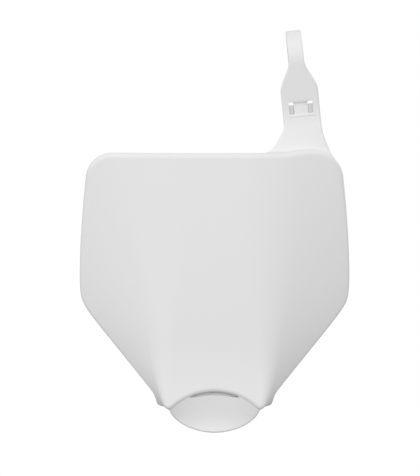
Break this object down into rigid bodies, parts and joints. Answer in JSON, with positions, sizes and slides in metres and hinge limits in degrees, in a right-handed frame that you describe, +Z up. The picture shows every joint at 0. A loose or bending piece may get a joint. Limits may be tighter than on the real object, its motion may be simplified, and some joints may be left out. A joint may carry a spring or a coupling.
{
  "type": "motorcycle front number board",
  "caption": "White one-piece moulded front number board with a bar strap at its upper corner and a fender slot below its bottom arch.",
  "frame": {"origin": "in the fender slot's pocket, under the crown of the bottom arch, on the board's centre line", "axes": "+Z up, the board's face looks towards -Y, +X to the right as seen from the front"},
  "size_m": [0.2414, 0.0776, 0.3599],
  "materials": {
    "white_plastic": "satin"
  },
  "bodies": {
    "root": {"number_board": "white_plastic"}
  },
  "joints": []
}
